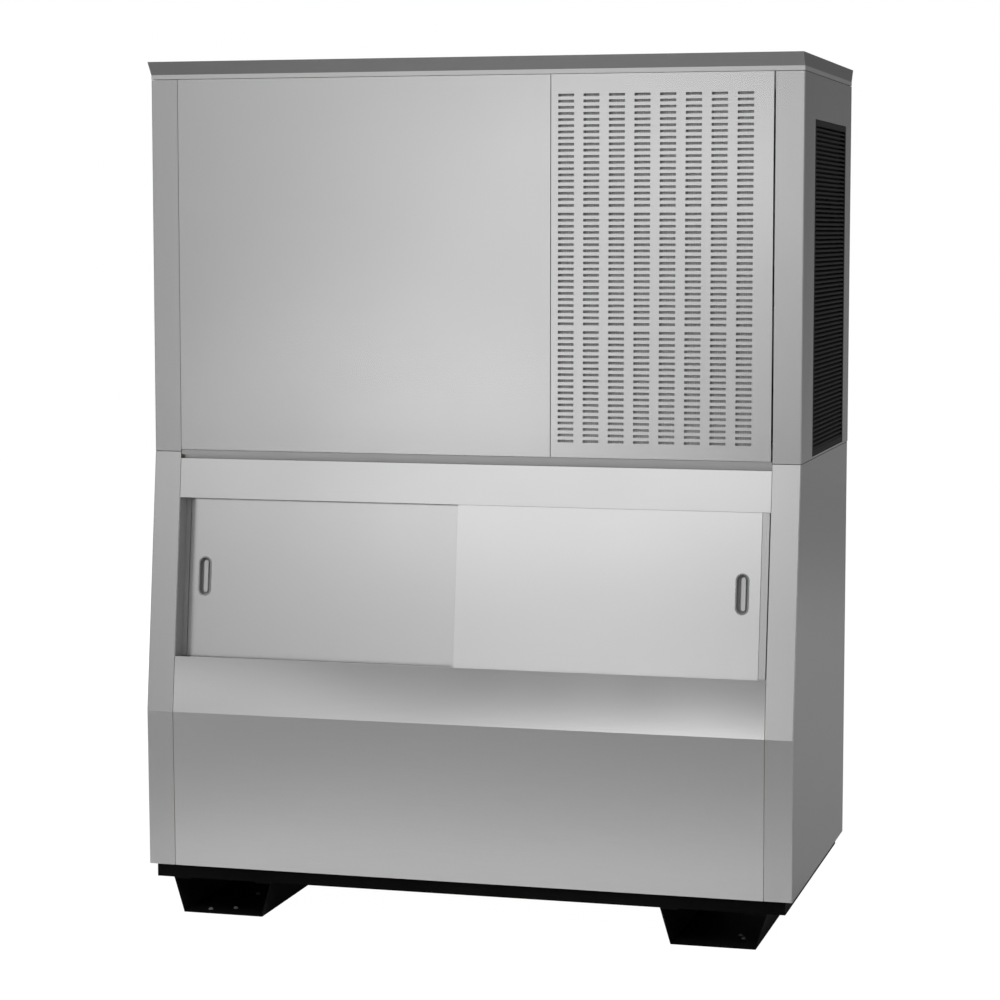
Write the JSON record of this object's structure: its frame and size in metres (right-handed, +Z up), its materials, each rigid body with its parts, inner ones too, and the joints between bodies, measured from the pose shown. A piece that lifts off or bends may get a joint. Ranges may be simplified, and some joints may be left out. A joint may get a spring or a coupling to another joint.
{
  "type": "ice cube machine",
  "caption": "Floor-standing ice cube machine: an ice-making head with a slotted front panel on an insulated storage bin with a leaning front and sliding doors.",
  "frame": {"origin": "on the floor, below the middle of the box round the whole machine", "axes": "+X to the machine's right as seen from the front, +Y from the front to the back, +Z up"},
  "size_m": [1.48, 0.792, 1.926],
  "materials": {
    "stainless": "brushed along the panel",
    "dark_steel": "dark brushed",
    "black_coated_steel": "satin black coat",
    "galvanised": "plain zinc coated sheet",
    "black_plastic": "moulded, satin",
    "pale_plastic": "moulded, satin",
    "liner_plastic": "smooth white",
    "foam": "closed cell foam",
    "seal": "soft foam seal",
    "nickel_aluminium": "plated",
    "copper_alloy": "drawn tube",
    "black_shell": "black enamel",
    "control_box_plastic": "moulded",
    "fan_plastic": "moulded"
  },
  "bodies": {
    "cabinet": {"base_frame": "black_coated_steel", "left_skid": "black_coated_steel", "right_skid": "black_coated_steel", "left_bin_panel": "stainless", "right_bin_panel": "stainless", "bin_floor": "galvanised", "bin_back": "galvanised", "joint_rail": "stainless", "fascia": "stainless", "lower_front_panel": "stainless", "top_track": "pale_plastic", "bottom_track": "pale_plastic", "left_jamb": "black_coated_steel", "right_jamb": "stainless", "bin_liner": "liner_plastic", "bin_insulation": "foam", "bin_rim": "pale_plastic", "joint_gasket": "seal", "drain_outlet": "pale_plastic", "left_head_panel": "stainless", "right_head_panel": "stainless", "head_back": "galvanised", "head_base_pan": "galvanised", "header_rail": "galvanised", "mullion": "galvanised", "left_front_panel": "stainless", "vent_panel": "stainless", "top_cover": "dark_steel", "side_grille": "black_plastic", "divider": "galvanised", "bulkhead": "pale_plastic", "left_evaporator": "nickel_aluminium", "right_evaporator": "nickel_aluminium", "water_trough": "pale_plastic", "water_pump": "black_plastic", "water_distributor": "pale_plastic", "float_valve": "black_plastic", "water_inlet": "copper_alloy", "power_inlet": "black_plastic", "condenser": "nickel_aluminium", "control_box": "control_box_plastic", "switch_housing": "black_plastic", "fan_shroud": "galvanised", "fan_motor": "black_shell", "compressor": "black_shell", "suction_line": "copper_alloy", "liquid_receiver": "black_shell"},
    "left_door": {"left_door": "stainless", "left_pull": "black_plastic", "left_door_glides": "pale_plastic"},
    "right_door": {"right_door": "stainless", "right_pull": "black_plastic", "right_door_glides": "pale_plastic"},
    "left_water_curtain": {"left_water_curtain": "pale_plastic"},
    "right_water_curtain": {"right_water_curtain": "pale_plastic"},
    "fan": {"fan": "fan_plastic"},
    "float_arm": {"float_arm": "pale_plastic"},
    "mode_switch": {"mode_switch": "black_plastic"}
  },
  "joints": [
    {"name": "left_door_slide", "type": "slide", "parent": "cabinet", "child": "left_door", "axis": [1, 0, 0], "range_m": [0, 0.64]},
    {"name": "right_door_slide", "type": "slide", "parent": "cabinet", "child": "right_door", "axis": [-1, 0, 0], "range_m": [0, 0.64]},
    {"name": "left_curtain_hinge", "type": "hinge", "parent": "cabinet", "child": "left_water_curtain", "pos_m": [-0.465, -0.086, 1.7788], "axis": [-1, 0, 0], "range_deg": [0, 25]},
    {"name": "right_curtain_hinge", "type": "hinge", "parent": "cabinet", "child": "right_water_curtain", "pos_m": [-0.035, -0.086, 1.7788], "axis": [-1, 0, 0], "range_deg": [0, 25]},
    {"name": "fan_spin", "type": "hinge", "parent": "cabinet", "child": "fan", "pos_m": [0.7, 0.0555, 1.4235], "axis": [1, 0, 0], "continuous": true},
    {"name": "float_hinge", "type": "hinge", "parent": "cabinet", "child": "float_arm", "pos_m": [-0.679, -0.028, 1.2638], "axis": [1, 0, 0], "range_deg": [-8, 10]},
    {"name": "mode_switch_rock", "type": "hinge", "parent": "cabinet", "child": "mode_switch", "pos_m": [0.2472, -0.2845, 1.788], "axis": [1, 0, 0], "range_deg": [-8, 8]}
  ]
}
